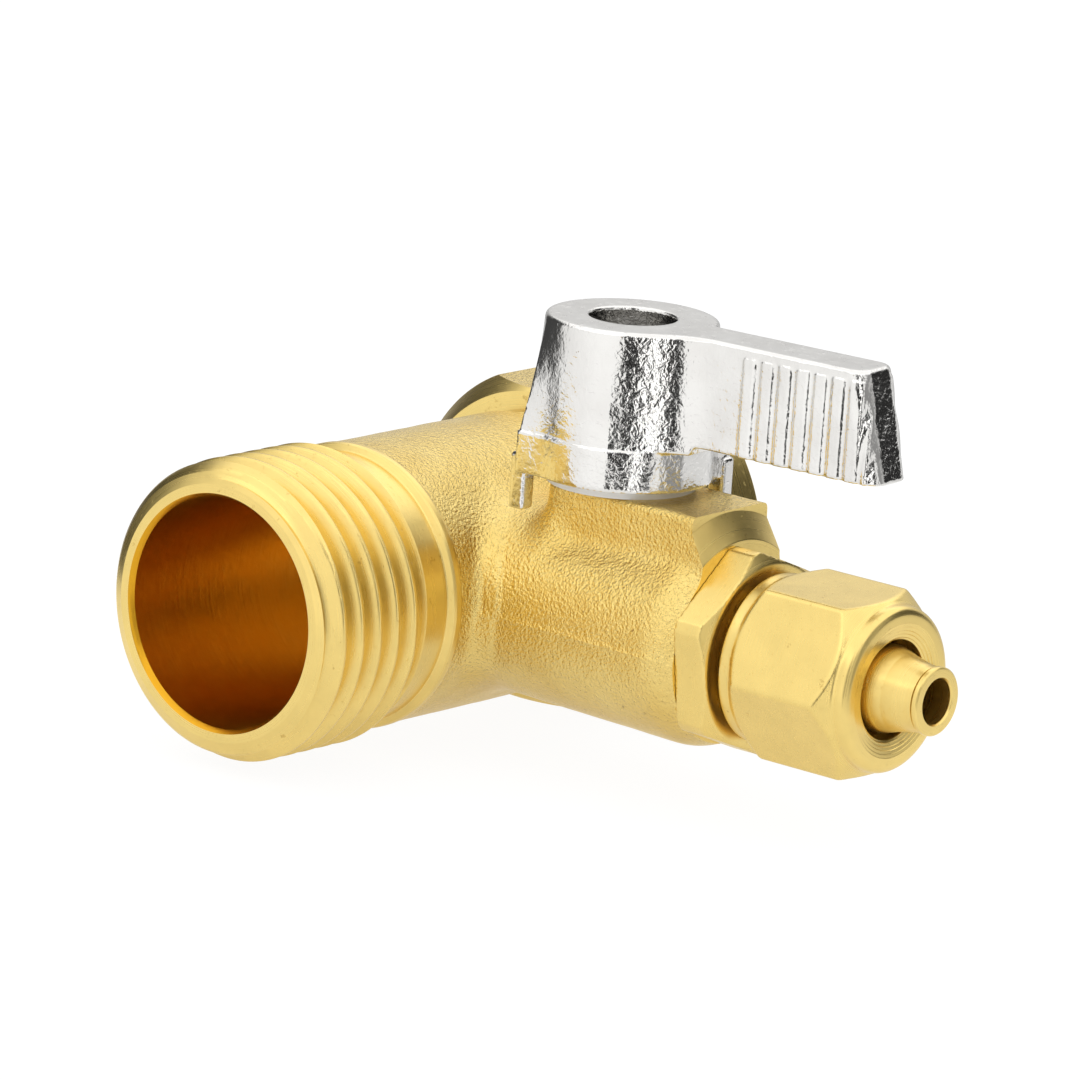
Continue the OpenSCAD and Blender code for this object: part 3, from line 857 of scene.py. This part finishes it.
# brightness round the horizon: a black gap in front, white panels each side, a dim back
ring = wramp(turn, [(deg(-180), 1.0), (deg(-164), 0.9), (deg(-150), 0.05), (deg(-110), 0.06), (deg(-98), 0.85), (deg(-40), 1.0), (deg(-10), 1.0),
                    (deg(-8), 0.02), (deg(8.5), 0.02), (deg(10.5), 1.6), (deg(19.5), 1.6), (deg(21.5), 0.02), (deg(33), 0.02), (deg(36), 0.9), (deg(48), 0.9),
                    (deg(56), 0.25), (deg(75), 0.3), (deg(92), 0.7), (deg(126), 0.7), (deg(150), 0.9), (deg(180), 1.0)])
up = wramp(rise, [(0.0, 1.0), (0.42, 1.0), (0.52, 0.0)])
top = wramp(rise, [(0.34, 0.0), (0.5, 1.0), (1.0, 1.0)])
# height as a share of the whole sweep, 0.5 at the horizon
height = wmath("ADD", wmath("MULTIPLY", rise, 0.5), 0.5)
# a black card on the right
card = wmath("MULTIPLY", wramp(turn, [(deg(88), 0.0), (deg(93), 1.0), (deg(126), 1.0), (deg(131), 0.0)]), wramp(height, [(0.475, 0.0), (0.488, 1.0), (0.67, 1.0), (0.70, 0.0)]))
# the lower part of the back wall is dimmer than the upper part
wall = wmath("MULTIPLY", wramp(turn, [(deg(-180), 1.0), (deg(-154), 1.0), (deg(-144), 0.0), (deg(138), 0.0), (deg(148), 1.0), (deg(180), 1.0)]),
             wramp(height, [(0.60, 1.0), (0.65, 0.0)]))
open_ = wmath("MULTIPLY", wmath("SUBTRACT", 1.0, wmath("MULTIPLY", card, 0.97)), wmath("SUBTRACT", 1.0, wmath("MULTIPLY", wall, 0.45)))
side_light = wmath("MULTIPLY", wmath("MULTIPLY", wmath("MULTIPLY", ring, up), open_), 1.15)
top_light = wmath("MULTIPLY", top, 1.3)
total = wmath("ADD", side_light, top_light)
bg = wnode("ShaderNodeBackground")
wt.links.new(total, bg.inputs[1])
bg.inputs[0].default_value = (1, 1, 1, 1)
white = wnode("ShaderNodeBackground")
white.inputs[0].default_value = (1, 1, 1, 1)
white.inputs[1].default_value = 1.06
lp, ms, wo = wnode("ShaderNodeLightPath"), wnode("ShaderNodeMixShader"), wnode("ShaderNodeOutputWorld")
wt.links.new(lp.outputs["Is Camera Ray"], ms.inputs[0])
wt.links.new(bg.outputs[0], ms.inputs[1])
wt.links.new(white.outputs[0], ms.inputs[2])
wt.links.new(ms.outputs[0], wo.inputs[0])

A, E, ROLL = math.radians(39.216), math.radians(13.676), math.radians(3.872)
back = Vector((math.sin(A) * math.cos(E), -math.cos(A) * math.cos(E), math.sin(E)))
right = Vector((math.cos(A), math.sin(A), 0))
upv = back.cross(right)
right2 = right * math.cos(ROLL) + upv * math.sin(ROLL)
up2 = -right * math.sin(ROLL) + upv * math.cos(ROLL)
cam_data = bpy.data.cameras.new("camera")
cam_data.sensor_width = 36
cam_data.lens = 7392.565 / 1080 * 36
cam = bpy.data.objects.new("camera", cam_data)
scene.collection.objects.link(cam)
eye = Vector((9.352, 0, 3.858)) * MM + back * 513.138 * MM
cam.matrix_world = Matrix(((right2.x, up2.x, back.x, eye.x), (right2.y, up2.y, back.y, eye.y), (right2.z, up2.z, back.z, eye.z), (0, 0, 0, 1)))
scene.camera = cam

bpy.context.view_layer.update()
